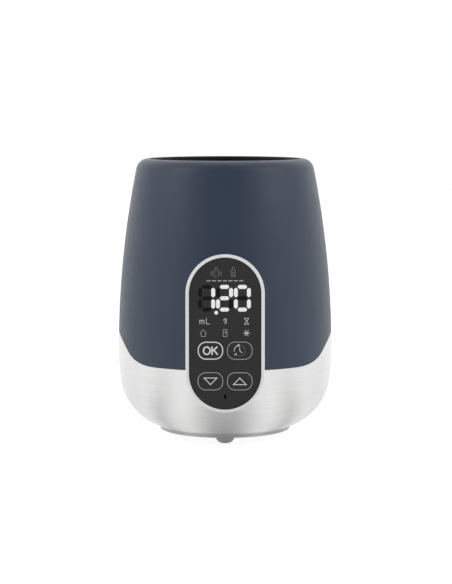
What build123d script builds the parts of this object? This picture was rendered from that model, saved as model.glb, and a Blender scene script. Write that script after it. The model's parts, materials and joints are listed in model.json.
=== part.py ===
from build123d import *

import os
from math import acos, atan2, cos, radians, sin, sqrt

# Bottle warmer: a round, tapered water-bath warmer for one baby bottle or food jar.
# Millimetres, +Z up, the floor at Z = 0, the body's axis on Z. The control panel faces -Y.
#
# A blue plastic housing stands in a steel bowl, whose top edge is low at the front and back and rises
# at both sides. A black liner and a heating plate make the water well, and a lift-out basket stands
# in it. The mains electronics sit in a plastic tray inside the bowl, the controls in the panel's pod.

# ---------------------------------------------------------------- the body's outline
HEIGHT = 171.4
WIDEST_R, WIDEST_Z = 66.0, 53.0
UPPER_ARC = 561.0  # long curve of the side above the widest circle
CORNER_ARC = 7.3  # shoulder into the rim
LOWER_ARC, LOWER_TURN = 143.0, radians(7.1)  # side below the widest circle, and how far it turns
BOWL_ARC, BOWL_EDGE_R = 34.5, 41.2  # the bowl's underside, down to its bottom edge
MOUTH_R = 46.4

STEEL_T = 1.0
WALL_T = 2.4
SKIRT_OUT, SKIRT_IN = 1.2, 3.0  # insets of the housing's skirt and of the tray
SKIRT_END_Z, SKIRT_TOP_Z, TRAY_TOP_Z = 34.0, 70.0, 33.6

SEAM_Z, SEAM_CREST_Z = 49.0, 66.0  # seam at the front and back, and at the sides
SEAM_FOOT_Y = 50.9  # where the seam starts to rise
SEAM_CROWN_ARC = 49.3
SEAM_GAP = 0.2

# ---------------------------------------------------------------- the panel
PANEL_TILT = radians(3.5)  # it leans back at its top
PANEL_Y, PANEL_Z = -66.54, 71.1  # centre of the fascia's face
BEZEL_W, BEZEL_H, BEZEL_PROUD, BEZEL_DEPTH, BEZEL_ROUND = 46.4, 93.1, 0.45, 15.0, 0.8
FASCIA_W, FASCIA_H, FASCIA_T, FASCIA_GAP = 42.4, 89.2, 1.6, 0.05
WEB_T = 1.6  # plate inside the bezel that carries the fascia
CUTOUT_DEPTH, CUTOUT_GAP = 16.0, 0.1
CONTROL_PCB_FRONT, PCB_T, PCB_MARGIN = 9.6, 1.6, 0.5
PANEL_BOSS_R, PANEL_HOLE_FRONT = 2.4, 5.0
PANEL_BOSSES = [(-11.0, 35.0), (11.0, 35.0), (-17.0, -19.0), (17.0, -19.0)]

KEY_W, KEY_H, KEY_CORNER = 15.0, 10.6, 4.8
KEY_PLACES = {
    "ok_key": (-8.6, -10.0),
    "delay_key": (8.6, -10.0),
    "down_key": (-8.6, -28.0),
    "up_key": (8.6, -28.0),
}
KEY_GAP, KEY_TRAVEL = 0.12, 0.5
KEY_LIP_W, KEY_LIP_T, KEY_LIP_GAP = 0.6, 0.8, 0.05
KEY_WINDOW_W, KEY_WINDOW_H = 34.6, 12.6
PLUNGER_R, PLUNGER_END = 1.6, 5.6
SWITCH_SIDE, SWITCH_FRONT = 6.0, 6.6
STEM_R, STEM_END, STEM_SLACK = 1.72, 8.2, 0.08
STEM_HOLE_END = 8.9

DISPLAY_W, DISPLAY_H, DISPLAY_V, DISPLAY_GAP = 35.0, 19.6, 20.8, 0.2
DIGITS_U, DIGIT_PITCH = -0.35, 10.45
SEGMENT_L, SEGMENT_W, SEGMENT_BEVEL, SEGMENT_ROUND = 5.4, 2.3, 0.85, 0.3
SEGMENT_U, SEGMENT_V = 3.82, 6.65  # half width and half height of a digit, to the segments' centres
SEGMENT_INSET = 0.05
POINT_U, POINT_V, POINT_R = -5.2, 12.3, 1.1
LIT_SEGMENTS = ["bc", "abged", "abcdef"]  # the display reads 1.20
BUZZER_V, BUZZER_R, BUZZER_FRONT, BUZZER_HOLE_R, BUZZER_HOLE_DEPTH = -37.0, 4.5, 4.6, 1.0, 1.0
SOUND_SLOT_W, SOUND_SLOT_H, SOUND_SLOT_SPREAD = 1.3, 2.5, 1.0
RIBBON_T, RIBBON_W, RIBBON_END_V, RIBBON_END_GAP = 0.8, 12.0, -28.0, 0.05
RIBBON_ROUTE = [(-17.0, 16.0), (-30.0, 18.0), (-46.0, 31.0)]  # Y and Z, from the mains board
RIBBON_RISE_Y = -50.0  # where it turns up to the control board

# ---------------------------------------------------------------- the well
WELL_R, LINER_T = 40.0, 2.2
LINER_TOP_Z, LINER_LIP_R, FUNNEL_R, FUNNEL_FOOT_Z = 170.6, 46.2, 44.9, 158.0
LEDGE_Z = HEIGHT - WALL_T  # underside of the housing's rim
GASKET_T, GASKET_W, FLANGE_R, FLANGE_T = 0.8, 1.0, 49.4, 2.2
LINER_FOOT_Z, FOOT_LIP_R, LINER_STEP = 43.8, 34.5, 1.0
RIB_R, RIB_Z, RIB_T = 46.5, 66.0, 2.0  # the liner's outer rib, held up by the collar
COLLAR_T, COLLAR_R, COLLAR_BORE_R = 3.5, 47.5, 42.5
BOSS_RING_R, BOSS_R, BOSS_TOP_Z = 54.0, 3.8, 100.0
SEAL_T, HEATING_PLATE_T, HEATING_PLATE_R, HEATING_PLATE_EDGE = 0.8, 3.0, 39.7, 0.6
HEATER_R, HEATER_T, HEATER_EDGE = 20.0, 5.0, 0.4
STUD_X, STUD_R, STUD_HOLE_DEPTH, STUD_BITE = 24.0, 3.0, 6.5, 6.0
CLAMP_T, CLAMP_W = 2.0, 12.0
SENSOR_Y, SENSOR_R, SENSOR_H = 27.0, 2.4, 7.0
FUSE_R, FUSE_L = 2.2, 11.0

# ---------------------------------------------------------------- the base
BASE_Z, BASE_TOP_R, BASE_LOW_R = 4.4, 41.0, 40.3  # the bottom plate
SCREW_SEAT_T = 0.1  # how far the base screws' seats lie below the bowl's edge
SPIGOT_R, FLANGE_HOLE_R = 39.3, 39.5
FOOT_RING_R, FOOT_FLARE_R, FOOT_SIDE_R, FOOT_LOW_R, FOOT_STUD_R = 31.6, 8.6, 5.6, 1.8, 2.4
FOOT_SIDE_Z = 2.9  # where the foot's round underside meets its flare
FOOT_ROUND, FOOT_HOLLOW, FOOT_EDGE_T = 4.0, 4.0, 0.3
FOOT_ANGLES = [270, 30, 150]
PILLAR_ANGLES = [90, 210, 330]
PILLAR_RING_R, PILLAR_R = 35.8, 3.5
POWER_PCB_W, POWER_PCB_L, POWER_PCB_Y, POWER_PCB_Z = 52.0, 44.0, 2.0, 14.0
POWER_PCB_CORNER = 3.0
STANDOFF_X, STANDOFF_Y, STANDOFF_R, STANDOFF_HOLE_DEPTH = 22.0, 17.0, 3.0, 4.0
GLAND_Z, GLAND_END_Y, GLAND_START_Y = 26.5, 69.8, 54.0
CORD_R, GLAND_NECK_R, GLAND_FLANGE_R, GLAND_NOSE_R, GLAND_FLANGE_Y = 3.4, 4.9, 7.0, 5.4, 66.2
GLAND_ROUND = 1.0

# Boxed components on the mains board: width, length, height, and place in X and Y.
TRANSFORMER_CORE = (16.0, 10.0, 13.0, -12.0, -6.0)
TRANSFORMER_COIL = (12.0, 14.0, 9.0, -12.0, -6.0)
TRANSFORMER_COIL_LIFT = 2.0
RELAY = (12.0, 15.0, 15.0, 14.0, -5.0)
CAPACITOR_R, CAPACITOR_H, CAPACITOR_X, CAPACITOR_Y = 4.0, 14.0, 2.0, -12.0
COMPONENT_EDGE = 0.5
TERMINAL_L, TERMINAL_H, TERMINAL_WELL_DEPTH, TERMINAL_PITCH = 8.0, 9.0, 3.0, 5.5
MAINS_WAYS, MAINS_TERMINAL_Y = 3, 19.5
HEATER_WAYS, HEATER_TERMINAL_Y = 2, 9.5
LEAD_R = 1.0

# ---------------------------------------------------------------- the basket
BASKET_R, BASKET_T = 38.2, 1.6
BASKET_FOOT_Z, BASKET_TOP_Z, BASKET_GRIP_Z = 50.2, 112.0, 148.0
BASKET_SLOTS, SLOT_W, SLOT_LOW_Z, SLOT_HIGH_Z = 10, 9.0, 60.0, 102.0
BASKET_HOLES, BASKET_HOLE_R, BASKET_HOLE_RING_R = 6, 5.0, 22.0
GRIP_W, GRIP_T, GRIP_REACH, GRIP_OVERLAP = 16.0, 2.0, 7.0, 4.0

# ---------------------------------------------------------------- fasteners
SLACK = 0.02  # between a screw and its hole
HEAD_SLACK = 0.3
M3_R, M3_HEAD_R, M3_HEAD_H, M3_BITE, M3_HOLE_DEPTH = 1.45, 2.8, 1.9, 12.0, 14.0
M2_R, M2_HEAD_R, M2_HEAD_H, M2_BITE = 1.0, 1.9, 1.4, 3.5

BEYOND = 200.0  # longer than the object, for cutting tools
OVERCUT = 1.0  # how far a cutting tool passes a face

# Centres of the outline's tangent arcs, from the widest circle up and down.
UPPER_C = (WIDEST_R - UPPER_ARC, WIDEST_Z)
CORNER_C = (
    UPPER_C[0] + sqrt((UPPER_ARC - CORNER_ARC) ** 2 - (HEIGHT - CORNER_ARC - WIDEST_Z) ** 2),
    HEIGHT - CORNER_ARC,
)
CORNER_ANGLE = atan2(CORNER_C[1] - UPPER_C[1], CORNER_C[0] - UPPER_C[0])
LOWER_C = (WIDEST_R - LOWER_ARC, WIDEST_Z)
BOWL_C = (
    LOWER_C[0] + (LOWER_ARC - BOWL_ARC) * cos(LOWER_TURN),
    LOWER_C[1] - (LOWER_ARC - BOWL_ARC) * sin(LOWER_TURN),
)
BOWL_ANGLE = -acos((BOWL_EDGE_R - BOWL_C[0]) / BOWL_ARC)


def bowl_floor(inset):
    """Height of the bowl's bottom edge, for a form shrunk by inset."""
    return BOWL_C[1] + (BOWL_ARC - inset) * sin(BOWL_ANGLE)


PANEL = Plane(
    origin=(0, PANEL_Y, PANEL_Z), x_dir=(1, 0, 0), z_dir=(0, -cos(PANEL_TILT), sin(PANEL_TILT))
)
GLAND = Plane(origin=(0, GLAND_START_Y, GLAND_Z), x_dir=(1, 0, 0), z_dir=(0, 1, 0))
HEATER_PLATE_Z = LINER_FOOT_Z + LINER_T + SEAL_T
TRAY_FLOOR_Z = bowl_floor(SKIRT_IN)
BOARD_TOP_Z = POWER_PCB_Z + PCB_T
BOARD_HOLES = [
    (x, y + POWER_PCB_Y) for x in (-STANDOFF_X, STANDOFF_X) for y in (-STANDOFF_Y, STANDOFF_Y)
]


# ---------------------------------------------------------------- shared shapes
def arc(centre, radius, start, end):
    """An arc of the outline, between two angles in radians."""
    angles = (start, (start + end) / 2, end)
    return ThreePointArc(*[(centre[0] + radius * cos(a), centre[1] + radius * sin(a)) for a in angles])


def body(inset=0.0):
    """The whole body's outer form, shrunk inward by inset. Every arc keeps its centre."""
    bowl = arc(BOWL_C, BOWL_ARC - inset, BOWL_ANGLE, -LOWER_TURN)
    lower = arc(LOWER_C, LOWER_ARC - inset, -LOWER_TURN, 0)
    upper = arc(UPPER_C, UPPER_ARC - inset, 0, CORNER_ANGLE)
    corner = arc(CORNER_C, CORNER_ARC - inset, CORNER_ANGLE, radians(90))
    low, high = bowl @ 0, corner @ 1
    rest = Polyline((high.X, high.Y), (0, high.Y), (0, low.Y), (low.X, low.Y))
    return revolve(Plane.XZ * make_face([bowl, lower, upper, corner, rest]), Axis.Z)


def shell(outside, inside):
    """The skin between two insets of the body."""
    return body(outside) - body(inside)


def disc(radius, low, high, x=0.0, y=0.0):
    return Pos(x, y, low) * extrude(Circle(radius), high - low)


def ring(outer, inner, low, high):
    return disc(outer, low, high) - disc(inner, low, high)


def slab(low, high):
    """A wide slice of space between two heights."""
    return Pos(0, 0, low) * extrude(Rectangle(BEYOND, BEYOND), high - low)


def block(width, length, low, high, x=0.0, y=0.0):
    return Pos(x, y, low) * extrude(Rectangle(width, length), high - low)


def turned(points):
    """A ring turned about the body's axis from a closed outline of radius and height."""
    return revolve(Plane.XZ * make_face(Polyline(*points, close=True)), Axis.Z)


def around(shape, radius, angles):
    """Copies of a shape, stood on a circle about the body's axis."""
    return Part() + [Rot(0, 0, angle) * Pos(radius, 0, 0) * shape for angle in angles]


def screw(shank_r, head_r, head_h, length):
    """A pan-head screw, tip up, with the head's underside at Z = 0 and a cross recess."""
    head = Pos(0, 0, -head_h) * extrude(Circle(head_r), head_h)
    head = chamfer(head.edges().sort_by(Axis.Z)[0], 0.35)
    recess_l, recess_w = 1.3 * head_r, 0.32 * head_r
    cross = Rectangle(recess_l, recess_w) + Rectangle(recess_w, recess_l)
    return head + extrude(Circle(shank_r), length) - Pos(0, 0, -head_h) * extrude(cross, 0.6 * head_h)


def stadium(width, height):
    return SlotOverall(height, width, rotation=90)


def on_panel(outline, front, back, u=0.0, v=0.0):
    """A sketch stood on the panel and extruded between two depths behind the fascia's face."""
    return PANEL * Pos(u, v, -back) * extrude(outline, back - front)


def below_seam(drop=0.0):
    """All of space below the seam, lowered by drop. The seam is the same all along X."""
    low, crest = SEAM_Z - drop, SEAM_CREST_Z - drop
    turn = 2 * atan2(crest - low, SEAM_FOOT_Y)
    hollow_arc = SEAM_FOOT_Y / sin(turn) - SEAM_CROWN_ARC
    bend = (SEAM_CROWN_ARC * sin(turn), crest - SEAM_CROWN_ARC * (1 - cos(turn)))
    half = turn / 2
    on_crown = (SEAM_CROWN_ARC * sin(half), crest - SEAM_CROWN_ARC * (1 - cos(half)))
    in_hollow = (SEAM_FOOT_Y - hollow_arc * sin(half), low + hollow_arc * (1 - cos(half)))
    crown = ThreePointArc((0, crest), on_crown, bend)
    hollow = ThreePointArc(bend, in_hollow, (SEAM_FOOT_Y, low))
    rest = Polyline((SEAM_FOOT_Y, low), (BEYOND, low), (BEYOND, -BEYOND), (0, -BEYOND), (0, crest))
    half_space = extrude(Plane.YZ * make_face([crown, hollow, rest]), BEYOND, both=True)
    return half_space + mirror(half_space, Plane.XZ)


def pod_cutout():
    """Room for the bezel through the body's walls."""
    outline = stadium(BEZEL_W + 2 * CUTOUT_GAP, BEZEL_H + 2 * CUTOUT_GAP)
    return on_panel(outline, -2 * BEZEL_DEPTH, CUTOUT_DEPTH)


# ---------------------------------------------------------------- housings
def upper_shell():
    wall = shell(0, WALL_T) - below_seam() - disc(MOUTH_R, HEIGHT - 2 * WALL_T, HEIGHT + OVERCUT)
    skirt = shell(SKIRT_OUT, SKIRT_IN) & slab(SKIRT_END_Z, SKIRT_TOP_Z)
    reach = WIDEST_R - BOSS_RING_R
    web = Pos(reach / 2, 0, 0) * block(reach, WALL_T, RIB_Z, BOSS_TOP_Z)
    posts = around(disc(BOSS_R, RIB_Z, BOSS_TOP_Z) + web, BOSS_RING_R, PILLAR_ANGLES)
    bores = around(disc(M3_R + SLACK, RIB_Z, RIB_Z + M3_HOLE_DEPTH), BOSS_RING_R, PILLAR_ANGLES)
    return wall + skirt + (posts & body(SKIRT_OUT)) - bores - pod_cutout()


def steel_bowl():
    bowl = shell(0, STEEL_T) & below_seam(SEAM_GAP)
    return bowl - disc(FLANGE_HOLE_R, 0, LINER_FOOT_Z) - pod_cutout() - gland_bore(GLAND_NECK_R)


def inner_tray():
    tray = shell(SKIRT_OUT, SKIRT_IN) & slab(0, TRAY_TOP_Z)
    hole_z = POWER_PCB_Z - STANDOFF_HOLE_DEPTH
    tray += [disc(STANDOFF_R, TRAY_FLOOR_Z, POWER_PCB_Z, x, y) for x, y in BOARD_HOLES]
    tray -= [disc(M2_R + SLACK, hole_z, POWER_PCB_Z, x, y) for x, y in BOARD_HOLES]
    tray -= around(disc(M3_R + SLACK, 0, TRAY_FLOOR_Z + OVERCUT), PILLAR_RING_R, PILLAR_ANGLES)
    return tray - pod_cutout() - gland_bore(GLAND_NECK_R)


def bottom_plate():
    edge_z, top_z = bowl_floor(0), bowl_floor(SKIRT_OUT)
    outline = [(0, BASE_Z), (BASE_LOW_R, BASE_Z), (BASE_TOP_R, edge_z), (SPIGOT_R, edge_z)]
    plate = turned(outline + [(SPIGOT_R, top_z), (0, top_z)])
    hole = disc(M3_R + SLACK, 0, top_z + OVERCUT)
    hole += disc(M3_HEAD_R + HEAD_SLACK, 0, edge_z - SCREW_SEAT_T)
    plate -= around(hole, PILLAR_RING_R, PILLAR_ANGLES)
    return plate - around(disc(FOOT_STUD_R, 0, edge_z), FOOT_RING_R, FOOT_ANGLES)


def rubber_foot(angle):
    """A foot with a round underside, a flare up to the plate and a stud into it."""
    edge_z = bowl_floor(0)
    low, side, edge = (FOOT_LOW_R, 0), (FOOT_SIDE_R, FOOT_SIDE_Z), (FOOT_FLARE_R, BASE_Z - FOOT_EDGE_T)
    underside = RadiusArc(low, side, -FOOT_ROUND)
    flare = RadiusArc(side, edge, FOOT_HOLLOW)
    stud = [(FOOT_STUD_R, BASE_Z), (FOOT_STUD_R, edge_z), (0, edge_z)]
    rest = Polyline(edge, (FOOT_FLARE_R, BASE_Z), *stud, (0, 0), low)
    foot = revolve(Plane.XZ * make_face([underside, flare, rest]), Axis.Z)
    return Rot(0, 0, angle) * Pos(FOOT_RING_R, 0, 0) * foot


def gland_bore(radius):
    """A round bar along the cord's way out at the back."""
    return GLAND * extrude(Circle(radius), GLAND_END_Y - GLAND_START_Y)


def cable_gland():
    flange = GLAND * extrude(Circle(GLAND_FLANGE_R), GLAND_FLANGE_Y - GLAND_START_Y)
    nose = gland_bore(GLAND_NOSE_R)
    nose = fillet(nose.edges().sort_by(Axis.Y)[-1], GLAND_ROUND)
    walls = shell(0, SKIRT_IN) - gland_bore(GLAND_NECK_R)
    return flange + nose - walls - gland_bore(CORD_R)


# ---------------------------------------------------------------- panel
def panel_bezel():
    tube = extrude(stadium(BEZEL_W, BEZEL_H), BEZEL_DEPTH + BEZEL_PROUD)
    tube = fillet(tube.faces().sort_by(Axis.Z)[-1].edges(), BEZEL_ROUND)
    opening = stadium(FASCIA_W + 2 * FASCIA_GAP, FASCIA_H + 2 * FASCIA_GAP)
    tube = PANEL * Pos(0, 0, -BEZEL_DEPTH) * (tube - extrude(opening, BEZEL_DEPTH + BEZEL_PROUD))
    web_back = FASCIA_T + WEB_T
    frame = tube + on_panel(opening, FASCIA_T, web_back)
    post, hole = Circle(PANEL_BOSS_R), Circle(M2_R + SLACK)
    frame += [on_panel(post, FASCIA_T, CONTROL_PCB_FRONT, u, v) for u, v in PANEL_BOSSES]
    frame -= [on_panel(hole, PANEL_HOLE_FRONT, CONTROL_PCB_FRONT, u, v) for u, v in PANEL_BOSSES]
    display = Rectangle(DISPLAY_W + 2 * DISPLAY_GAP, DISPLAY_H + 2 * DISPLAY_GAP)
    frame -= on_panel(display, 0, web_back, v=DISPLAY_V)
    keys = RectangleRounded(KEY_WINDOW_W, KEY_WINDOW_H, KEY_CORNER)
    frame -= [on_panel(keys, 0, web_back, v=v) for v in sorted({v for u, v in KEY_PLACES.values()})]
    sound = stadium(SOUND_SLOT_W + SOUND_SLOT_SPREAD, SOUND_SLOT_H + SOUND_SLOT_SPREAD)
    return frame - on_panel(sound, 0, web_back, v=BUZZER_V)


def panel_fascia():
    face = stadium(FASCIA_W, FASCIA_H) - Pos(0, BUZZER_V) * stadium(SOUND_SLOT_W, SOUND_SLOT_H)
    opening = RectangleRounded(KEY_W + 2 * KEY_GAP, KEY_H + 2 * KEY_GAP, KEY_CORNER + KEY_GAP)
    face -= [Pos(u, v) * opening for u, v in KEY_PLACES.values()]
    lit, dark = display_segments()
    return on_panel(face - lit - dark, 0, FASCIA_T)


def display_segments():
    """Outlines of the lit and the dark segments: seven a digit, clockwise from the top, then the middle."""
    bar = chamfer(Rectangle(SEGMENT_L, SEGMENT_W).vertices(), SEGMENT_BEVEL)
    bar = fillet(bar.vertices(), SEGMENT_ROUND)
    half_v = SEGMENT_V / 2
    places = {
        "a": (0, SEGMENT_V, 0),
        "b": (SEGMENT_U, half_v, 90),
        "c": (SEGMENT_U, -half_v, 90),
        "d": (0, -SEGMENT_V, 0),
        "e": (-SEGMENT_U, -half_v, 90),
        "f": (-SEGMENT_U, half_v, 90),
        "g": (0, 0, 0),
    }
    lit, dark = [Pos(POINT_U, POINT_V) * Circle(POINT_R)], []
    for digit, letters in enumerate(LIT_SEGMENTS):
        centre = DIGITS_U + (digit - 1) * DIGIT_PITCH
        for letter, (u, v, turn) in places.items():
            segment = Pos(centre + u, DISPLAY_V + v) * Rot(0, 0, turn) * bar
            (lit if letter in letters else dark).append(segment)
    return Sketch() + lit, Sketch() + dark


def key_cap(name):
    """A key with a lip behind the fascia and a plunger down to its switch."""
    u, v = KEY_PLACES[name]
    lip_front = FASCIA_T + KEY_LIP_GAP
    cap = on_panel(RectangleRounded(KEY_W, KEY_H, KEY_CORNER), 0, lip_front + KEY_LIP_T, u, v)
    lip = RectangleRounded(KEY_W + 2 * KEY_LIP_W, KEY_H + 2 * KEY_LIP_W, KEY_CORNER + KEY_LIP_W)
    cap += on_panel(lip, lip_front, lip_front + KEY_LIP_T, u, v)
    return cap + on_panel(Circle(PLUNGER_R), lip_front, PLUNGER_END, u, v)


def switch_stem(name):
    return on_panel(Circle(STEM_R), PLUNGER_END, STEM_END, *KEY_PLACES[name])


def tactile_switches():
    """Four switch housings. Each has a blind hole for its stem."""
    cases = []
    for u, v in KEY_PLACES.values():
        case = on_panel(Rectangle(SWITCH_SIDE, SWITCH_SIDE), SWITCH_FRONT, CONTROL_PCB_FRONT, u, v)
        cases.append(case - on_panel(Circle(STEM_R + STEM_SLACK), SWITCH_FRONT, STEM_HOLE_END, u, v))
    return Part() + cases


def display_module():
    return on_panel(Rectangle(DISPLAY_W, DISPLAY_H), FASCIA_T, CONTROL_PCB_FRONT, v=DISPLAY_V)


def buzzer():
    can = on_panel(Circle(BUZZER_R), BUZZER_FRONT, CONTROL_PCB_FRONT, v=BUZZER_V)
    return can - on_panel(Circle(BUZZER_HOLE_R), BUZZER_FRONT, BUZZER_FRONT + BUZZER_HOLE_DEPTH, v=BUZZER_V)


def control_pcb():
    outline = stadium(FASCIA_W - 2 * PCB_MARGIN, FASCIA_H - 2 * PCB_MARGIN)
    outline -= [Pos(u, v) * Circle(M2_R + SLACK) for u, v in PANEL_BOSSES]
    return on_panel(outline, CONTROL_PCB_FRONT, CONTROL_PCB_FRONT + PCB_T)


def control_pcb_screws():
    one = screw(M2_R, M2_HEAD_R, M2_HEAD_H, PCB_T + M2_BITE)
    back = CONTROL_PCB_FRONT + PCB_T
    return Part() + [PANEL * Pos(u, v, -back) * one for u, v in PANEL_BOSSES]


def ribbon_cable():
    """Flat cable from the mains board, up through the pod's open back, to the control board."""
    pcb_back = CONTROL_PCB_FRONT + PCB_T
    end = PANEL.from_local_coords(Vector(0, RIBBON_END_V, -pcb_back - RIBBON_END_GAP))
    path = Polyline(*RIBBON_ROUTE, (RIBBON_RISE_Y, end.Z), (end.Y, end.Z))
    return extrude(Plane.YZ * trace(path, RIBBON_T), RIBBON_W / 2, both=True)


# ---------------------------------------------------------------- well
def well_liner():
    flange_z = LEDGE_Z - GASKET_T
    outer_r = WELL_R + LINER_T
    outline = [
        (FUNNEL_R, LINER_TOP_Z),
        (LINER_LIP_R, LINER_TOP_Z),
        (LINER_LIP_R, flange_z),
        (FLANGE_R, flange_z),
        (FLANGE_R, flange_z - FLANGE_T),
        (FUNNEL_R + LINER_T, flange_z - FLANGE_T),
        (outer_r, FUNNEL_FOOT_Z - LINER_STEP),
        (outer_r, RIB_Z + RIB_T),
        (RIB_R, RIB_Z + RIB_T),
        (RIB_R, RIB_Z),
        (outer_r, RIB_Z),
        (outer_r, LINER_FOOT_Z),
        (FOOT_LIP_R, LINER_FOOT_Z),
        (FOOT_LIP_R, LINER_FOOT_Z + LINER_T),
        (WELL_R, LINER_FOOT_Z + LINER_T),
        (WELL_R, FUNNEL_FOOT_Z),
    ]
    posts = around(disc(PILLAR_R, TRAY_FLOOR_Z, LINER_FOOT_Z), PILLAR_RING_R, PILLAR_ANGLES)
    bores = around(disc(M3_R + SLACK, 0, TRAY_FLOOR_Z + M3_HOLE_DEPTH), PILLAR_RING_R, PILLAR_ANGLES)
    return turned(outline) + posts - bores


def rim_gasket():
    return ring(MOUTH_R + GASKET_W, MOUTH_R, LEDGE_Z - GASKET_T, LEDGE_Z)


def liner_collar():
    """Ring under the liner's rib, with a lug under each of the housing's posts."""
    low = RIB_Z - COLLAR_T
    reach = BOSS_RING_R - COLLAR_BORE_R
    lug = disc(BOSS_R, low, RIB_Z) + Pos(-reach / 2, 0, 0) * block(reach, 2 * BOSS_R, low, RIB_Z)
    collar = ring(COLLAR_R, COLLAR_BORE_R, low, RIB_Z) + around(lug, BOSS_RING_R, PILLAR_ANGLES)
    collar -= disc(COLLAR_BORE_R, low, RIB_Z)
    return collar - around(disc(M3_R + SLACK, low, RIB_Z), BOSS_RING_R, PILLAR_ANGLES)


def collar_screws():
    one = Pos(0, 0, RIB_Z - COLLAR_T) * screw(M3_R, M3_HEAD_R, M3_HEAD_H, COLLAR_T + M3_BITE)
    return around(one, BOSS_RING_R, PILLAR_ANGLES)


def plate_seal():
    return ring(WELL_R, FOOT_LIP_R + 0.5, HEATER_PLATE_Z - SEAL_T, HEATER_PLATE_Z)


def at_studs(shape):
    """A shape at each of the heating plate's two studs."""
    return [Pos(x, 0, 0) * shape for x in (-STUD_X, STUD_X)]


def heating_plate():
    low = HEATER_PLATE_Z - HEATER_T
    plate = disc(HEATING_PLATE_R, HEATER_PLATE_Z, HEATER_PLATE_Z + HEATING_PLATE_T)
    plate = chamfer(plate.edges().sort_by(Axis.Z)[-1], HEATING_PLATE_EDGE)
    plate += at_studs(disc(STUD_R, low, HEATER_PLATE_Z))
    return plate - at_studs(disc(M3_R + SLACK, low, low + STUD_HOLE_DEPTH))


def ptc_heater():
    return chamfer(disc(HEATER_R, HEATER_PLATE_Z - HEATER_T, HEATER_PLATE_Z).edges(), HEATER_EDGE)


def heater_clamp():
    high = HEATER_PLATE_Z - HEATER_T
    bar = Pos(0, 0, high - CLAMP_T) * extrude(SlotOverall(2 * STUD_X + CLAMP_W, CLAMP_W), CLAMP_T)
    return bar - at_studs(disc(M3_R + SLACK, high - CLAMP_T, high))


def clamp_screws():
    seat = Pos(0, 0, HEATER_PLATE_Z - HEATER_T - CLAMP_T)
    return Part() + at_studs(seat * screw(M3_R, M3_HEAD_R, M3_HEAD_H, CLAMP_T + STUD_BITE))


def thermal_fuse():
    centre = Location((0, SENSOR_Y, HEATER_PLATE_Z - FUSE_R), (0, 90, 0))
    return centre * extrude(Circle(FUSE_R), FUSE_L / 2, both=True)


def ntc_sensor():
    return disc(SENSOR_R, HEATER_PLATE_Z - SENSOR_H, HEATER_PLATE_Z, 0, -SENSOR_Y)


# ---------------------------------------------------------------- mains board
def power_pcb():
    outline = RectangleRounded(POWER_PCB_W, POWER_PCB_L, POWER_PCB_CORNER)
    board = Pos(0, POWER_PCB_Y, POWER_PCB_Z) * extrude(outline, PCB_T)
    return board - [disc(M2_R + SLACK, POWER_PCB_Z, BOARD_TOP_Z, x, y) for x, y in BOARD_HOLES]


def power_pcb_screws():
    one = Rot(180, 0, 0) * screw(M2_R, M2_HEAD_R, M2_HEAD_H, PCB_T + M2_BITE)
    return Part() + [Pos(x, y, BOARD_TOP_Z) * one for x, y in BOARD_HOLES]


def on_board(width, length, height, x, y):
    """A boxed component standing on the mains board."""
    return block(width, length, BOARD_TOP_Z, BOARD_TOP_Z + height, x, y)


def power_transformer():
    return on_board(*TRANSFORMER_CORE) + Pos(0, 0, TRANSFORMER_COIL_LIFT) * on_board(*TRANSFORMER_COIL)


def filter_capacitor():
    can = disc(CAPACITOR_R, BOARD_TOP_Z, BOARD_TOP_Z + CAPACITOR_H, CAPACITOR_X, CAPACITOR_Y)
    return chamfer(can.edges().sort_by(Axis.Z)[-1], COMPONENT_EDGE)


def power_relay():
    return chamfer(on_board(*RELAY).edges().group_by(Axis.Z)[-1], COMPONENT_EDGE)


def way_places(ways):
    """The places along X of a terminal block's ways."""
    return [(way - (ways - 1) / 2) * TERMINAL_PITCH for way in range(ways)]


def screw_terminal(ways, y):
    """A terminal block with a round screw well over each way."""
    high = BOARD_TOP_Z + TERMINAL_H
    case = on_board(ways * TERMINAL_PITCH, TERMINAL_L, TERMINAL_H, 0, y)
    well_r = 0.3 * TERMINAL_PITCH
    return case - [disc(well_r, high - TERMINAL_WELL_DEPTH, high, x, y) for x in way_places(ways)]


def heater_leads():
    """A lead from each way of the heater's terminal straight up to the heater."""
    low, high = BOARD_TOP_Z + TERMINAL_H - TERMINAL_WELL_DEPTH, HEATER_PLATE_Z - HEATER_T
    return Part() + [disc(LEAD_R, low, high, x, HEATER_TERMINAL_Y) for x in way_places(HEATER_WAYS)]


def base_screws():
    seat = bowl_floor(0) - SCREW_SEAT_T
    length = TRAY_FLOOR_Z + M3_BITE - seat
    one = Pos(0, 0, seat) * screw(M3_R, M3_HEAD_R, M3_HEAD_H, length)
    return around(one, PILLAR_RING_R, PILLAR_ANGLES)


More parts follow.
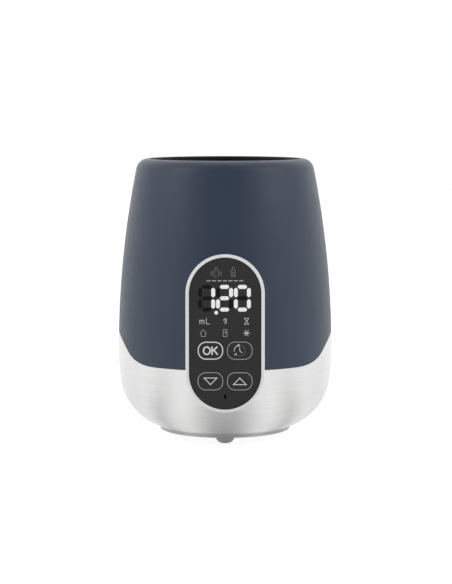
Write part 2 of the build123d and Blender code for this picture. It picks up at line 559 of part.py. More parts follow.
# ---------------------------------------------------------------- basket
def bottle_basket():
    wall = ring(BASKET_R, BASKET_R - BASKET_T, BASKET_FOOT_Z, BASKET_TOP_Z)
    floor_z = BASKET_FOOT_Z + BASKET_T
    floor = disc(BASKET_R, BASKET_FOOT_Z, floor_z)
    hole = disc(BASKET_HOLE_R, BASKET_FOOT_Z, floor_z)
    floor -= around(hole, BASKET_HOLE_RING_R, range(0, 360, 360 // BASKET_HOLES))
    window = Plane.YZ * RectangleRounded(SLOT_W, SLOT_HIGH_Z - SLOT_LOW_Z, 0.45 * SLOT_W)
    slot = Pos(0, 0, (SLOT_LOW_Z + SLOT_HIGH_Z) / 2) * extrude(window, 2 * BASKET_T, both=True)
    turn = 360 / BASKET_SLOTS
    wall -= around(slot, BASKET_R, [turn * (step + 0.5) for step in range(BASKET_SLOTS)])
    arm = ring(BASKET_R, BASKET_R - GRIP_T, BASKET_TOP_Z - GRIP_OVERLAP, BASKET_GRIP_Z)
    tab = ring(BASKET_R, BASKET_R - GRIP_REACH, BASKET_GRIP_Z - GRIP_T, BASKET_GRIP_Z)
    strap = block(BEYOND, GRIP_W, BASKET_TOP_Z - GRIP_OVERLAP, BASKET_GRIP_Z)
    return wall + floor + ((arm + tab) & strap)


def make_parts():
    lit, dark = display_segments()
    parts = {
        "upper_shell": upper_shell(),
        "steel_bowl": steel_bowl(),
        "inner_tray": inner_tray(),
        "bottom_plate": bottom_plate(),
        "cable_gland": cable_gland(),
        "panel_bezel": panel_bezel(),
        "panel_fascia": panel_fascia(),
        "display_segments_lit": on_panel(lit, SEGMENT_INSET, FASCIA_T),
        "display_segments_dark": on_panel(dark, SEGMENT_INSET, FASCIA_T),
        "display_module": display_module(),
        "tactile_switches": tactile_switches(),
        "buzzer": buzzer(),
        "control_pcb": control_pcb(),
        "control_pcb_screws": control_pcb_screws(),
        "ribbon_cable": ribbon_cable(),
        "well_liner": well_liner(),
        "rim_gasket": rim_gasket(),
        "liner_collar": liner_collar(),
        "collar_screws": collar_screws(),
        "plate_seal": plate_seal(),
        "heating_plate": heating_plate(),
        "ptc_heater": ptc_heater(),
        "heater_clamp": heater_clamp(),
        "clamp_screws": clamp_screws(),
        "thermal_fuse": thermal_fuse(),
        "ntc_sensor": ntc_sensor(),
        "power_pcb": power_pcb(),
        "power_pcb_screws": power_pcb_screws(),
        "power_transformer": power_transformer(),
        "filter_capacitor": filter_capacitor(),
        "power_relay": power_relay(),
        "mains_terminal": screw_terminal(MAINS_WAYS, MAINS_TERMINAL_Y),
        "heater_terminal": screw_terminal(HEATER_WAYS, HEATER_TERMINAL_Y),
        "heater_leads": heater_leads(),
        "base_screws": base_screws(),
        "bottle_basket": bottle_basket(),
    }
    for name, angle in zip(("foot_front", "foot_right", "foot_left"), FOOT_ANGLES):
        parts[name] = rubber_foot(angle)
    for name in KEY_PLACES:
        parts[name] = key_cap(name)
        parts[name.replace("_key", "_switch_stem")] = switch_stem(name)
    return parts


os.makedirs("parts", exist_ok=True)
for node, shape in make_parts().items():
    export_step(shape, f"parts/{node}.step")
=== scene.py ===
import json
from math import atan2, cos, hypot, pi, radians, sin

import bmesh
import bpy
from mathutils import Matrix, Vector


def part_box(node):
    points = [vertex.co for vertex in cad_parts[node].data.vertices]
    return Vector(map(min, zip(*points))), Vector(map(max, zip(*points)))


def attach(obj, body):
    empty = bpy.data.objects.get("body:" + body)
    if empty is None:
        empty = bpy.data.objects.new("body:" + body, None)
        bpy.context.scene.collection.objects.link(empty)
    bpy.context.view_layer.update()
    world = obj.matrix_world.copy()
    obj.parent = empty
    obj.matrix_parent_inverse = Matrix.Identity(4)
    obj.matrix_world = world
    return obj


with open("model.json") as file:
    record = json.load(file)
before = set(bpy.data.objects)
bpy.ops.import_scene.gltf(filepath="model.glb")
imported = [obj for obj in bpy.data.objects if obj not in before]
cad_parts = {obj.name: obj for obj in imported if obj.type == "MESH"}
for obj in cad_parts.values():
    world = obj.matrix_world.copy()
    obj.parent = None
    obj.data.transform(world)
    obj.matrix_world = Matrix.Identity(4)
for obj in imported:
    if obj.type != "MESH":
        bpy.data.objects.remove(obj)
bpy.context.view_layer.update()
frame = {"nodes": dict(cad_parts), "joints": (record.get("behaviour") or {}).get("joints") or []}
NODES = frame["nodes"]
MM = 0.001

# ---------------------------------------------------------------- colours (linear light)
SLATE = (0.028, 0.046, 0.082)
SLATE_DEEP = (0.025, 0.041, 0.074)
STEEL = (0.90, 0.893, 0.890)
STEEL_SHADE = (0.80, 0.793, 0.790)
BLACK = (0.003, 0.003, 0.004)
FASCIA = (0.031, 0.031, 0.031)
PRINT_WHITE = (0.90, 0.90, 0.90)
PRINT_GREY = (0.50, 0.50, 0.50)
PRINT_FAINT = (0.17, 0.17, 0.17)
SILVER = (0.93, 0.93, 0.93)
FOOT_GREY = (0.50, 0.50, 0.50)
PLATE_GREY = (0.50, 0.50, 0.50)

KEYS = ("ok", "delay", "down", "up")


# ---------------------------------------------------------------- material building
class Tree:
    """A node tree, with short ways to add and join nodes."""

    def __init__(self, owner):
        owner.use_nodes = True
        self.tree = owner.node_tree

    def add(self, kind, **settings):
        node = self.tree.nodes.new(kind)
        for key, value in settings.items():
            setattr(node, key, value)
        return node

    def join(self, source, target):
        self.tree.links.new(source, target)

    def math(self, operation, first, second=None):
        node = self.add("ShaderNodeMath", operation=operation)
        for socket, value in zip(node.inputs, (first, second)):
            if value is None:
                continue
            if isinstance(value, (int, float)):
                socket.default_value = value
            else:
                self.join(value, socket)
        return node.outputs[0]

    def by_turn(self, vector, table):
        """A value from a table of (turn, value), by how far vector is turned about Z from the front."""
        flat = self.add("ShaderNodeVectorMath", operation="MULTIPLY")
        flat.inputs[1].default_value = (1, 1, 0)
        self.join(vector, flat.inputs[0])
        unit = self.add("ShaderNodeVectorMath", operation="NORMALIZE")
        self.join(flat.outputs[0], unit.inputs[0])
        split = self.add("ShaderNodeSeparateXYZ")
        self.join(unit.outputs[0], split.inputs[0])
        ramp = self.add("ShaderNodeValToRGB")
        self.join(self.math("MULTIPLY", self.math("ADD", split.outputs["Y"], 1.0), 0.5), ramp.inputs[0])
        while len(ramp.color_ramp.elements) < len(table):
            ramp.color_ramp.elements.new(0.5)
        for element, (turn, value) in zip(ramp.color_ramp.elements, table):
            element.position = (1 - cos(radians(turn))) / 2
            element.color = (value, value, value, 1)
        return ramp.outputs[0]

    def place(self):
        """The object's own coordinates, in metres."""
        return self.add("ShaderNodeTexCoord").outputs["Object"]

    def noise(self, vector, scale, detail=3.0, roughness=0.55):
        node = self.add("ShaderNodeTexNoise")
        node.inputs["Scale"].default_value = scale
        node.inputs["Detail"].default_value = detail
        node.inputs["Roughness"].default_value = roughness
        self.join(vector, node.inputs["Vector"])
        return node.outputs["Fac"]

    def spread(self, value, low, high):
        """Stretches a noise's usual span to low..high."""
        node = self.add("ShaderNodeMapRange")
        node.inputs["From Min"].default_value = 0.3
        node.inputs["From Max"].default_value = 0.7
        node.inputs["To Min"].default_value = low
        node.inputs["To Max"].default_value = high
        self.join(value, node.inputs["Value"])
        return node.outputs["Result"]


class Finish(Tree):
    """A material's node tree, with its shader."""

    def __init__(self, name):
        self.material = bpy.data.materials.new(name)
        super().__init__(self.material)
        self.shader = self.tree.nodes["Principled BSDF"]

    def set(self, **sockets):
        """Sets the shader's own sockets. An underscore stands for a space."""
        for key, value in sockets.items():
            self.shader.inputs[key.replace("_", " ")].default_value = value

    def blend_colour(self, value, first, second):
        node = self.add("ShaderNodeMix", data_type="RGBA")
        self.join(value, node.inputs["Factor"])
        node.inputs["A"].default_value = (*first, 1)
        node.inputs["B"].default_value = (*second, 1)
        self.join(node.outputs["Result"], self.shader.inputs["Base Color"])

    def bump(self, height, distance, strength=1.0):
        node = self.add("ShaderNodeBump")
        node.inputs["Strength"].default_value = strength
        node.inputs["Distance"].default_value = distance
        self.join(height, node.inputs["Height"])
        self.join(node.outputs["Normal"], self.shader.inputs["Normal"])

    def cylinder_place(self, along, up):
        """Coordinates round the Z axis, stretched: turns about the axis, and height."""
        split = self.add("ShaderNodeSeparateXYZ")
        self.join(self.place(), split.inputs[0])
        angle = self.math("ARCTAN2", split.outputs["Y"], split.outputs["X"])
        join = self.add("ShaderNodeCombineXYZ")
        self.join(self.math("MULTIPLY", angle, along), join.inputs["X"])
        self.join(self.math("MULTIPLY", split.outputs["Z"], up), join.inputs["Y"])
        return join.outputs[0]


def moulded(name, colour, second, roughness, grain=0.00025, depth=0.00001, **sockets):
    """Moulded plastic or rubber: two close shades, a fine grain, and uneven gloss."""
    mat = Finish(name)
    place = mat.place()
    mat.blend_colour(mat.spread(mat.noise(place, 45.0, 4.0), 0.0, 1.0), colour, second)
    cloud = mat.noise(place, 160.0, 2.0)
    mat.join(mat.spread(cloud, roughness - 0.04, roughness + 0.04), mat.shader.inputs["Roughness"])
    mat.bump(mat.noise(place, 1.0 / grain, 2.0), depth)
    mat.set(**sockets)
    return mat.material


def soft_touch(name):
    """Slate-blue soft-touch paint, with a very fine tooth."""
    mat = Finish(name)
    place = mat.place()
    mat.blend_colour(mat.spread(mat.noise(place, 30.0, 5.0), 0.0, 1.0), SLATE_DEEP, SLATE)
    mat.join(mat.spread(mat.noise(place, 220.0, 2.0), 0.38, 0.44), mat.shader.inputs["Roughness"])
    mat.bump(mat.noise(place, 5200.0, 2.0), 0.000010, 0.5)
    mat.set(Specular_IOR_Level=0.5)
    return mat.material


COARSE_BRUSHING, FINE_BRUSHING = (1.5, 2600.0), (2.5, 4200.0)  # noise cells per radian and per metre up
BRUSHED_ROUGHNESS = (0.28, 0.44)


def brushed(name, colour, shade):
    """Sheet metal brushed round the Z axis, so that its highlights spread up and down."""
    mat = Finish(name)
    coarse = mat.noise(mat.cylinder_place(*COARSE_BRUSHING), 1.0, 4.0, 0.7)
    lines = mat.noise(mat.cylinder_place(*FINE_BRUSHING), 1.0, 3.0, 0.75)
    mat.blend_colour(mat.spread(coarse, 0.0, 1.0), shade, colour)
    mat.join(mat.spread(lines, *BRUSHED_ROUGHNESS), mat.shader.inputs["Roughness"])
    mat.bump(lines, 0.000006, 0.3)
    tangent = mat.add("ShaderNodeTangent", direction_type="RADIAL", axis="Z")
    mat.join(tangent.outputs[0], mat.shader.inputs["Tangent"])
    mat.set(Metallic=1.0, Anisotropic=0.8, Anisotropic_Rotation=0.25)
    return mat.material


METAL_GRAIN = 900.0  # noise cells per metre


def metal(name, colour, shade, roughness):
    """Plain metal: a fine grain, and uneven gloss."""
    mat = Finish(name)
    place = mat.place()
    cloud = mat.noise(place, METAL_GRAIN, 3.0)
    mat.blend_colour(mat.spread(cloud, 0.0, 1.0), shade, colour)
    mat.join(mat.spread(mat.noise(place, METAL_GRAIN / 3, 2.0), roughness - 0.05, roughness + 0.08),
             mat.shader.inputs["Roughness"])
    mat.bump(cloud, 0.000006)
    mat.set(Metallic=1.0)
    return mat.material


def turned_metal(name, colour, shade, roughness, pitch):
    """Metal faced on a lathe: fine rings about the Z axis."""
    mat = Finish(name)
    split = mat.add("ShaderNodeSeparateXYZ")
    mat.join(mat.place(), split.inputs[0])
    squares = [mat.math("POWER", split.outputs[axis], 2.0) for axis in ("X", "Y")]
    radius = mat.math("SQRT", mat.math("ADD", *squares))
    join = mat.add("ShaderNodeCombineXYZ")
    mat.join(mat.math("MULTIPLY", radius, 1.0 / pitch), join.inputs["X"])
    rings = mat.noise(join.outputs[0], 1.0, 2.0)
    mat.blend_colour(mat.spread(rings, 0.0, 1.0), shade, colour)
    mat.join(mat.spread(rings, roughness - 0.05, roughness + 0.1), mat.shader.inputs["Roughness"])
    mat.bump(rings, 0.00002)
    mat.set(Metallic=1.0)
    return mat.material


def glowing(name, colour, strength):
    """A lit display segment, a little uneven where its plastic is cloudy."""
    mat = Finish(name)
    cloud = mat.spread(mat.noise(mat.place(), 900.0, 2.0), 0.0, 1.0)
    mat.blend_colour(cloud, tuple(0.06 * c for c in colour), tuple(0.05 * c for c in colour))
    mat.join(mat.spread(mat.noise(mat.place(), 500.0, 2.0), strength * 0.97, strength * 1.03),
             mat.shader.inputs["Emission Strength"])
    mat.set(Emission_Color=(*colour, 1), Roughness=0.35)
    return mat.material


def use(material, *names):
    for name in names:
        NODES[name].data.materials.clear()
        NODES[name].data.materials.append(material)


# ---------------------------------------------------------------- the panel's plane
def panel_plane():
    """A matrix from the fascia's face (u right, v up, w out) to the frame."""
    axis = Vector(next(j for j in frame["joints"] if j["name"] == "ok_key_press")["axis"])
    out = -axis.normalized()
    right = Vector((1, 0, 0))
    up = out.cross(right)
    low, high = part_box("panel_fascia")
    size = high - low
    thickness = (size.y * up.z - size.z * up.y) / (up.z ** 2 - up.y ** 2)
    face = (low + high) / 2 + out * thickness / 2
    plane = Matrix((right, up, out)).transposed().to_4x4()
    plane.translation = face
    return plane


PANEL = panel_plane()


def on_panel(node):
    """The middle of a node in the panel's own coordinates, in millimetres."""
    low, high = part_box(node)
    spot = PANEL.inverted() @ ((low + high) / 2)
    return spot.x / MM, spot.y / MM


# ---------------------------------------------------------------- printed lines
def arc(centre, radius, start, end, steps=16):
    """Points on an arc. The angles are in degrees."""
    turn = [radians(start + (end - start) * i / steps) for i in range(steps + 1)]
    return [(centre[0] + radius * cos(a), centre[1] + radius * sin(a)) for a in turn]


def rounded_box(width, height, corner, centre=(0, 0)):
    """A closed outline with round corners."""
    x, y = width / 2 - corner, height / 2 - corner
    points = []
    for sx, sy, start in ((1, 1, 0), (-1, 1, 90), (-1, -1, 180), (1, -1, 270)):
        points += arc((centre[0] + sx * x, centre[1] + sy * y), corner, start, start + 90, 10)
    return points


def ellipse(centre, across, up, steps=28):
    turn = [2 * pi * i / steps for i in range(steps)]
    return [(centre[0] + across * cos(a), centre[1] + up * sin(a)) for a in turn]


def side_step(points, index, closed):
    """The unit step to the left of a line at one of its points, longer at a corner."""
    last = len(points) - 1
    before = points[index - 1] if index > 0 or closed else None
    after = points[(index + 1) % len(points)] if index < last or closed else None
    here = points[index]
    ways = []
    for a, b in ((before, here), (here, after)):
        if a is not None and b is not None and hypot(b[0] - a[0], b[1] - a[1]) > 1e-9:
            length = hypot(b[0] - a[0], b[1] - a[1])
            ways.append(Vector((-(b[1] - a[1]) / length, (b[0] - a[0]) / length)))
    if len(ways) == 1:
        return ways[0]
    middle = (ways[0] + ways[1]).normalized()
    return middle / max(0.4, middle.dot(ways[0]))


def ribbon(points, width, closed):
    """A line's left and right edges, and the points of its two round ends. A closed line has no ends."""
    half = width / 2
    sides = [side_step(points, i, closed) for i in range(len(points))]
    left = [(p[0] + s.x * half, p[1] + s.y * half) for p, s in zip(points, sides)]
    right = [(p[0] - s.x * half, p[1] - s.y * half) for p, s in zip(points, sides)]
    if closed:
        return left, right, [], []
    ends = []
    for point, side, sign in ((points[0], sides[0], 1), (points[-1], sides[-1], -1)):
        start = atan2(side.y, side.x) * 180 / pi + (0 if sign > 0 else 180)
        ends.append(arc(point, half, start, start + 180, 8)[1:-1])
    return left, right, ends[0], ends[1]


# Millimetres over the panel's face. Each line of a piece is a step above the last, then back to the first
# height, so that lines that cross don't share a face.
PRINT_LOW, PRINT_LIFT, PRINT_STEP, PRINT_LEVELS = 0.002, 0.012, 0.004, 6


def printed(name, body, material, lines):
    """Ink on the panel. A line is (points, width, closed), in millimetres."""
    mesh = bmesh.new()

    def corner(point, lift):
        return mesh.verts.new(PANEL @ (Vector((point[0], point[1], lift)) * MM))

    def prism(top, low):
        """Joins two equal rings of points into a closed flat tile."""
        mesh.faces.new(top)
        mesh.faces.new(list(reversed(low)))
        for i in range(len(top)):
            j = (i + 1) % len(top)
            mesh.faces.new((top[j], top[i], low[i], low[j]))

    for level, (points, width, closed) in enumerate(lines):
        lift = PRINT_LIFT + PRINT_STEP * (level % PRINT_LEVELS)
        left, right, head, tail = ribbon(points, width, closed)
        if closed:
            rings = [[corner(p, h) for p in side] for side in (left, right) for h in (lift, PRINT_LOW)]
            count = len(points)
            for i in range(count):
                j = (i + 1) % count
                a, a_low, b, b_low = (ring[i] for ring in rings)
                c, c_low, d, d_low = (ring[j] for ring in rings)
                mesh.faces.new((a, b, d, c))
                mesh.faces.new((a_low, c_low, d_low, b_low))
                mesh.faces.new((a, c, c_low, a_low))
                mesh.faces.new((b, b_low, d_low, d))
            continue
        outline = list(reversed(left)) + head + right + tail
        prism([corner(p, lift) for p in outline], [corner(p, PRINT_LOW) for p in outline])
    bmesh.ops.recalc_face_normals(mesh, faces=mesh.faces)
    data = bpy.data.meshes.new(name)
    mesh.to_mesh(data)
    mesh.free()
    piece = bpy.data.objects.new(name, data)
    bpy.context.scene.collection.objects.link(piece)
    data.materials.append(material)
    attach(piece, body)
    return piece


def shifted(points, u, v):
    return [(p[0] + u, p[1] + v) for p in points]


# ---------------------------------------------------------------- symbols
# Millimetres on the panel: u to the right of its middle and v above it.
FINE, THIN, MARK_W, ARROW_W, TICK_W, BOLD = 0.26, 0.34, 0.42, 0.46, 0.60, 0.80
ROW_UNITS_V, ROW_PLACES_V, ICONS_V, TICKS_V = 7.3, 0.35, 36.3, 31.0
LEFT_U, MIDDLE_U, RIGHT_U = -11.9, 0.0, 12.55
QUICK_U, SLOW_U = -5.2, 4.75
LETTER_H, LOW_H = 3.4, 2.3
TICK_COUNT, TICK_START_U, TICK_PITCH, TICK_LENGTH = 7, -10.6, 3.2, 1.8
HEAD_TURN, HEAD_HALF = 17, 0.6  # an arrow head's length in degrees of its circle, and half its width
KEY_W, KEY_H, RING_CORNER = 15.0, 10.6, 4.5
RING_W, OK_RING_W, RING_MARGIN = 0.36, 0.60, 0.05


def letter_m(u, v):
    arch_r = 0.62
    lines = [([(u, v), (u, v + LOW_H)], FINE, False)]
    for i in (0, 1):
        centre = (u + arch_r * (2 * i + 1), v + LOW_H - arch_r)
        lines.append((arc(centre, arch_r, 180, 0, 10) + [(centre[0] + arch_r, v)], FINE, False))
    return lines


def letter_l(u, v):
    return [([(u, v + LETTER_H), (u, v + 0.3), (u + 0.3, v), (u + 1.9, v)], FINE, False)]


def letter_g(u, v):
    bowl = ellipse((u, v + 0.7), 0.75, 0.75)
    hook = [(u + 0.75, v + 1.35), (u + 0.75, v - 0.65)] + arc((u + 0.1, v - 0.65), 0.65, 0, -130, 10)[1:]
    return [(bowl, FINE, True), (hook, FINE, False)]


def hourglass(u, v):
    w, h = 1.25, 1.75
    neck = 0.12
    glass = [(-w, h), (w, h), (neck, 0), (w, -h), (-w, -h), (-neck, 0)]
    return [(shifted(glass, u, v), FINE, True)]


def house(u, v):
    walls = [(-1.25, 0.1), (-1.25, -2.0), (1.25, -2.0), (1.25, 0.1)]
    roof = [(-1.95, -0.1), (0.0, 2.05), (1.95, -0.1)]
    return [(shifted(walls, u, v), FINE, False), (shifted(roof, u, v), FINE, False)]


def fridge(u, v):
    case = rounded_box(2.3, 4.2, 0.35)
    door = [(-1.15, 0.55), (1.15, 0.55)]
    pulls = [[(0.5, 1.1), (0.5, 1.5)], [(0.5, -0.1), (0.5, -0.7)]]
    lines = [(shifted(case, u, v), FINE, True), (shifted(door, u, v), FINE, False)]
    return lines + [(shifted(pull, u, v), FINE, False) for pull in pulls]


def snowflake(u, v):
    reach = 1.85
    lines = []
    for step in range(6):
        a = radians(60 * step)
        lines.append((shifted([(0, 0), (reach * cos(a), reach * sin(a))], u, v), THIN, False))
    return lines


def bottle(u, v, marks):
    """A small feeding bottle: teat, collar and body, with marks on it or steam at its sides."""
    teat = [(-0.85, 1.1)] + arc((0, 2.2), 0.5, 200, -20, 10) + [(0.85, 1.1)]
    body = rounded_box(2.5, 3.8, 0.5, (0, -1.0))
    lines = [(shifted(teat, u, v), THIN, False), (shifted(body, u, v), THIN, True)]
    if marks:
        rows = [-2.2, -1.3, -0.4]
        return lines + [(shifted([(-0.7, row), (0.7, row)], u, v), MARK_W, False) for row in rows]
    return lines + [(shifted([(x, 0.2), (x, -2.3)], u, v), THIN, False) for x in (-3.0, -2.1, 2.1, 3.0)]


def arrow_head(centre, radius, turn, way):
    """A small V at an angle on a circle. It points the way the angle grows if way is 1."""
    tip = arc(centre, radius, turn, turn, 1)[0]
    back = turn - way * HEAD_TURN
    ends = [arc(centre, radius + side, back, back, 1)[0] for side in (HEAD_HALF, -HEAD_HALF)]
    return [ends[0], tip, ends[1]]


def clock(u, v):
    """A timer: a circle broken by two arrow heads, one side faint, and two hands."""
    r = 3.2
    sweep = arc((u, v), r, 104, 186, 20)
    faint = arc((u, v), r, 250, 430, 28)
    heads = [arrow_head((u, v), r, 88, -1), arrow_head((u, v), r, 232, 1)]
    hands = shifted([(0.0, 1.9), (0.15, -0.2), (1.35, -1.2)], u, v)
    bright = [(points, THIN, False) for points in (sweep, hands, *heads)]
    return bright, [(faint, FINE, False)]


def triangle(u, v, way):
    half, tall = 3.75, 3.9
    points = [(-half, -way * tall / 2), (half, -way * tall / 2), (0, way * tall / 2)]
    return [(shifted(points, u, v), ARROW_W, True)]


def letters_ok(u, v):
    ring = ellipse((u - 2.15, v), 1.95, 2.15)
    x = u + 0.95
    stem = [(x, v + 2.15), (x, v - 2.15)]
    arms = [[(x + 2.9, v + 2.15), (x + 0.35, v - 0.1)], [(x + 1.0, v + 0.45), (x + 3.1, v - 2.15)]]
    return [(ring, BOLD, True), (stem, BOLD, False)] + [(arm, BOLD, False) for arm in arms]


def print_panel():
    white = moulded("print_white", PRINT_WHITE, tuple(0.93 * c for c in PRINT_WHITE), 0.5)
    grey = moulded("print_grey", PRINT_GREY, tuple(0.9 * c for c in PRINT_GREY), 0.5)
    faint = moulded("print_faint", PRINT_FAINT, tuple(0.9 * c for c in PRINT_FAINT), 0.5)
    units = letter_m(LEFT_U - 2.9, ROW_UNITS_V - 1.6) + letter_l(LEFT_U + 0.9, ROW_UNITS_V - 1.6)
    printed("print_ml", "housing", white, units)
    printed("print_g", "housing", white, letter_g(MIDDLE_U, ROW_UNITS_V))
    printed("print_hourglass", "housing", white, hourglass(RIGHT_U, ROW_UNITS_V))
    printed("print_house", "housing", grey, house(LEFT_U - 0.9, ROW_PLACES_V))
    printed("print_fridge", "housing", grey, fridge(MIDDLE_U, ROW_PLACES_V))
    printed("print_snowflake", "housing", white, snowflake(RIGHT_U, ROW_PLACES_V))
    printed("print_bottle_quick", "housing", faint, bottle(QUICK_U, ICONS_V, False))
    printed("print_bottle_slow", "housing", faint, bottle(SLOW_U, ICONS_V, True))
    starts = [TICK_START_U + TICK_PITCH * i for i in range(TICK_COUNT)]
    ticks = [([(u, TICKS_V), (u + TICK_LENGTH, TICKS_V)], TICK_W, False) for u in starts]
    printed("print_ticks", "housing", grey, ticks)
    for key in KEYS:
        print_key(key + "_key", white, grey, faint)


def print_key(key, white, grey, faint):
    """A ring at the key's edge and the symbol inside it."""
    u, v = on_panel(key)
    body = key + "_body"
    bright = key == "ok_key"
    width = OK_RING_W if bright else RING_W
    inset = width + 2 * RING_MARGIN
    edge = rounded_box(KEY_W - inset, KEY_H - inset, RING_CORNER, (u, v))
    ink = white if bright else grey
    printed("print_" + key + "_ring", body, ink, [(edge, width, True)])
    if bright:
        symbol = letters_ok(u, v)
    elif key == "delay_key":
        symbol, weak = clock(u - 0.1, v)
        printed("print_clock_face", body, faint, weak)
    else:
        symbol = triangle(u, v, 1 if key == "up_key" else -1)
    printed("print_" + key, body, white, symbol)


# ---------------------------------------------------------------- materials on the CAD nodes
def finish_nodes():
    use(soft_touch("soft_blue"), "upper_shell")
    use(brushed("brushed_steel", STEEL, STEEL_SHADE), "steel_bowl")
    black = moulded("liner_black", BLACK, tuple(1.5 * c for c in BLACK), 0.55, Specular_IOR_Level=0.15)
    use(black, "well_liner")
    inner_black = moulded("inner_black", (0.014, 0.014, 0.015), (0.020, 0.020, 0.021), 0.5)
    use(inner_black, "inner_tray", "tactile_switches", "buzzer", "power_transformer")
    plate = moulded("plate_grey", PLATE_GREY, tuple(0.95 * c for c in PLATE_GREY), 0.40, Metallic=0.55)
    use(plate, "bottom_plate")
    use(moulded("collar_grey", (0.25, 0.25, 0.26), (0.22, 0.22, 0.23), 0.5), "liner_collar")
    foot = moulded("foot_rubber", FOOT_GREY, tuple(0.9 * c for c in FOOT_GREY), 0.45)
    use(foot, "foot_front", "foot_left", "foot_right")
    rubber = moulded("black_rubber", (0.012, 0.012, 0.012), (0.018, 0.018, 0.018), 0.62, grain=0.0004)
    use(rubber, "cable_gland", "rim_gasket")
    silver = moulded("bezel_silver", SILVER, tuple(0.96 * c for c in SILVER), 0.36)
    use(silver, "panel_bezel")
    fascia = moulded("fascia_black", FASCIA, tuple(0.94 * c for c in FASCIA), 0.46,
                     depth=0.000004, Specular_IOR_Level=0.3)
    use(fascia, "panel_fascia")
    key = moulded("key_black", FASCIA, tuple(0.94 * c for c in FASCIA), 0.44,
                  depth=0.000004, Specular_IOR_Level=0.3)
    use(key, *[k + "_key" for k in KEYS])
    use(glowing("segment_lit", (0.97, 0.98, 1.0), 0.76), "display_segments_lit")
    dark = moulded("segment_dark", (0.008, 0.008, 0.008), (0.010, 0.010, 0.010), 0.5, Specular_IOR_Level=0.1)
    use(dark, "display_segments_dark")
    white = moulded("white_plastic", (0.72, 0.72, 0.69), (0.68, 0.68, 0.65), 0.45)
    use(white, "display_module", "power_relay", *[k + "_switch_stem" for k in KEYS])
    board = moulded("board_green", (0.012, 0.11, 0.035), (0.010, 0.085, 0.028), 0.32, Coat_Weight=0.4)
    use(board, "control_pcb", "power_pcb")
    terminal = moulded("terminal_green", (0.03, 0.24, 0.10), (0.028, 0.21, 0.09), 0.42)
    use(terminal, "mains_terminal", "heater_terminal")
    use(moulded("seal_silicone", (0.5, 0.5, 0.47), (0.46, 0.46, 0.43), 0.45), "plate_seal")
    use(moulded("wire_red", (0.42, 0.02, 0.018), (0.37, 0.016, 0.015), 0.4), "heater_leads")
    use(moulded("ribbon_grey", (0.42, 0.43, 0.45), (0.36, 0.37, 0.39), 0.45), "ribbon_cable")
    use(moulded("capacitor_sleeve", (0.02, 0.03, 0.09), (0.018, 0.026, 0.08), 0.3), "filter_capacitor")
    use(turned_metal("cast_aluminium", (0.66, 0.66, 0.67), (0.55, 0.55, 0.56), 0.34, 0.0004), "heating_plate")
    zinc = metal("zinc_steel", (0.66, 0.65, 0.62), (0.56, 0.56, 0.53), 0.32)
    use(zinc, "base_screws", "collar_screws", "clamp_screws", "control_pcb_screws", "power_pcb_screws",
        "heater_clamp", "ntc_sensor")
    use(metal("heater_case", (0.62, 0.62, 0.62), (0.52, 0.52, 0.52), 0.38), "ptc_heater", "thermal_fuse")
    basket = moulded("basket_grey", (0.22, 0.23, 0.25), (0.19, 0.20, 0.22), 0.42)
    use(basket, "bottle_basket")


# ---------------------------------------------------------------- the studio
# Brightness by the turn from straight in front: dark in front and pale at the sides. The floor's bands
# are what the steel mirrors.
SKY = ((0, 0.28), (20, 0.33), (40, 0.60), (60, 0.85), (90, 0.95), (130, 1.05), (180, 1.15))
FLOOR = ((0, 0.34), (9, 0.40), (18, 0.62), (28, 0.86), (37, 0.93), (47, 0.76), (57, 0.54), (66, 0.68),
         (78, 0.90), (95, 0.82), (120, 0.80), (180, 0.95))
FLOOR_GLOW, FLOOR_SEEN = 0.75, 0.86  # what the FLOOR table is multiplied by, and what the camera sees
FLOOR_R = 3.0
LAMP_X, LAMP_Y, LAMP_Z, LAMP_AIM_Z = 1.30, -0.70, 0.95, 0.08
LAMP_SIZE, LAMP_POWER = 0.9, 3.5  # metres and watts
EYE_BACK, EYE_UP, EYE_TILT = 1.150, 0.2082, 5.93  # metres, and degrees down
SENSOR, LENS, SHIFT = 36.0, 114.93, 0.0015


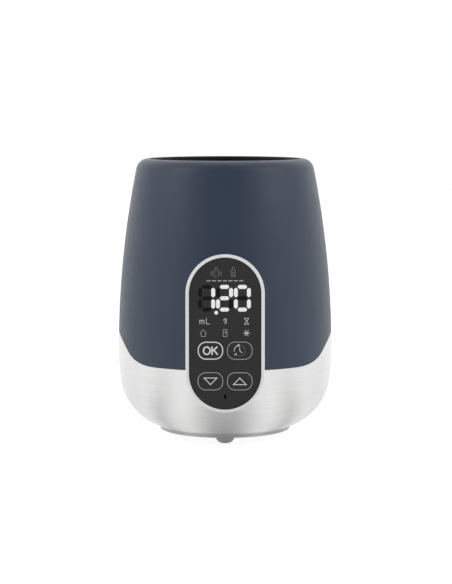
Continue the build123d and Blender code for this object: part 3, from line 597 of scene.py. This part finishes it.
def studio_floor():
    """A pale floor that glows: white to the camera, and like the surroundings in reflections."""
    bpy.ops.mesh.primitive_circle_add(vertices=96, radius=FLOOR_R, fill_type="NGON", location=(0, 0, 0))
    floor = bpy.context.object
    floor.name = "floor"
    mat = Finish("floor_pale")
    place = mat.place()
    mat.blend_colour(mat.spread(mat.noise(place, 3.0, 2.0), 0, 1), (0.30, 0.30, 0.30), (0.32, 0.32, 0.32))
    mat.set(Roughness=0.9, Specular_IOR_Level=0.0, Emission_Color=(1, 1, 1, 1))
    seen = mat.add("ShaderNodeLightPath").outputs["Is Camera Ray"]
    glow = mat.math("MULTIPLY", mat.by_turn(place, FLOOR), FLOOR_GLOW)
    mirrored = mat.math("MULTIPLY", glow, mat.math("SUBTRACT", 1.0, seen))
    shown = mat.math("MULTIPLY", seen, FLOOR_SEEN)
    mat.join(mat.math("ADD", mirrored, shown), mat.shader.inputs["Emission Strength"])
    floor.data.materials.append(mat.material)


def studio_world():
    world = bpy.data.worlds.new("studio")
    bpy.context.scene.world = world
    sky = Tree(world)
    sky.tree.nodes.clear()
    place = sky.add("ShaderNodeTexCoord").outputs["Generated"]
    surround = sky.add("ShaderNodeBackground")
    sky.join(sky.by_turn(place, SKY), surround.inputs[0])
    paper = sky.add("ShaderNodeBackground")
    paper.inputs["Color"].default_value = (1, 1, 1, 1)
    mix = sky.add("ShaderNodeMixShader")
    sky.join(sky.add("ShaderNodeLightPath").outputs["Is Camera Ray"], mix.inputs[0])
    sky.join(surround.outputs[0], mix.inputs[1])
    sky.join(paper.outputs[0], mix.inputs[2])
    out = sky.add("ShaderNodeOutputWorld")
    sky.join(mix.outputs[0], out.inputs[0])


def side_lights():
    """A wide soft light high up on each side, a little in front."""
    for side in (-1, 1):
        lamp = bpy.data.lights.new("side_light", "AREA")
        lamp.shape = "RECTANGLE"
        lamp.size, lamp.size_y = LAMP_SIZE, LAMP_SIZE
        lamp.energy = LAMP_POWER
        light = bpy.data.objects.new("side_light", lamp)
        light.location = (side * LAMP_X, LAMP_Y, LAMP_Z)
        aim = Vector((0, 0, LAMP_AIM_Z)) - light.location
        light.rotation_euler = aim.to_track_quat("-Z", "Y").to_euler()
        bpy.context.scene.collection.objects.link(light)


def camera():
    """In front of the body, at the photograph's viewing angle."""
    data = bpy.data.cameras.new("camera")
    data.sensor_fit = "VERTICAL"
    data.sensor_height = SENSOR
    data.lens = LENS
    data.shift_x = SHIFT
    eye = bpy.data.objects.new("camera", data)
    eye.location = (0.0, -EYE_BACK, EYE_UP)
    eye.rotation_euler = (radians(90 - EYE_TILT), 0, 0)
    bpy.context.scene.collection.objects.link(eye)
    bpy.context.scene.camera = eye


finish_nodes()
print_panel()
studio_floor()
studio_world()
side_lights()
camera()
bpy.context.scene.view_settings.view_transform = "Standard"
